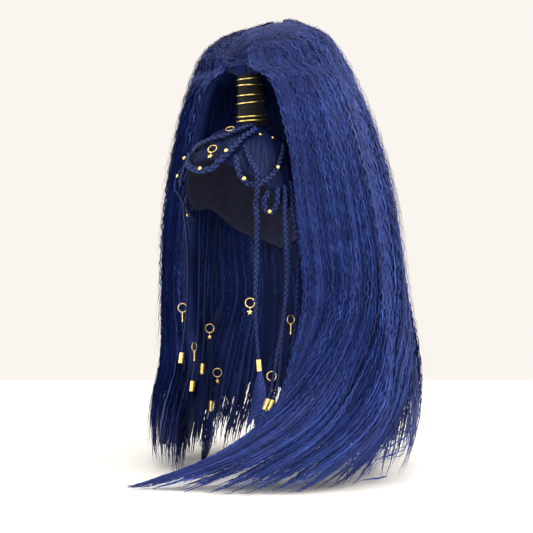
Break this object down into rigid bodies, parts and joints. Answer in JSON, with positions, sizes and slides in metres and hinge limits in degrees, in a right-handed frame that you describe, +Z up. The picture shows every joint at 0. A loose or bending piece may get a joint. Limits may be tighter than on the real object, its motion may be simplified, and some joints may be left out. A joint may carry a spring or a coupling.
{
  "type": "ponytail wig",
  "caption": "Blue wig with a close plaited cap and a tall crimped ponytail that rises from a black wrap, with gold rings, hoops and cuffs.",
  "frame": {"origin": "inside of the cap at the top of the wearer's head", "axes": "+Z up, the wearer faces -Y, so +X is the wearer's left"},
  "size_m": [0.4221, 0.4672, 0.653],
  "materials": {
    "tail_hair": "crimped synthetic hair, navy to royal blue",
    "drawn_hair": "smooth combed synthetic hair",
    "plaited_hair": "three-strand plaits of synthetic hair",
    "cap_cloth": "plain dark stretch cloth",
    "wrap_cloth": "black velvety cloth",
    "gold": "bright yellow gold"
  },
  "bodies": {
    "root": {"brow_band": "plaited_hair", "cap": "cap_cloth", "crown_charm": "gold", "crown_hoop": "gold", "front_loop": "plaited_hair", "left_cheek_charm": "gold", "left_cheek_cuff": "gold", "left_cheek_hoop": "gold", "left_cheek_plait": "plaited_hair", "left_ear_charm": "gold", "left_ear_cuff": "gold", "left_ear_hoop": "gold", "left_ear_loop": "plaited_hair", "left_ear_plait": "plaited_hair", "left_jaw_cuff": "gold", "left_jaw_plait": "plaited_hair", "left_nape_charm": "gold", "left_nape_hoop": "gold", "left_nape_plait": "plaited_hair", "left_temple_loop": "plaited_hair", "ponytail": "tail_hair", "right_cheek_charm": "gold", "right_cheek_cuff": "gold", "right_cheek_hoop": "gold", "right_cheek_plait": "plaited_hair", "right_ear_charm": "gold", "right_ear_cuff": "gold", "right_ear_hoop": "gold", "right_ear_loop": "plaited_hair", "right_ear_plait": "plaited_hair", "right_jaw_charm": "gold", "right_jaw_cuff": "gold", "right_jaw_hoop": "gold", "right_jaw_plait": "plaited_hair", "right_nape_charm": "gold", "right_nape_cuff": "gold", "right_nape_hoop": "gold", "right_nape_plait": "plaited_hair", "right_temple_loop": "plaited_hair", "stud_1": "gold", "stud_10": "gold", "stud_2": "gold", "stud_3": "gold", "stud_4": "gold", "stud_5": "gold", "stud_6": "gold", "stud_7": "gold", "stud_8": "gold", "stud_9": "gold", "swept_hair": "drawn_hair", "upper_crown_hoop": "gold", "wrap": "wrap_cloth", "wrap_ring_1": "gold", "wrap_ring_2": "gold", "wrap_ring_3": "gold", "wrap_ring_4": "gold", "wrap_ring_5": "gold", "wrap_ring_6": "gold"}
  },
  "joints": []
}
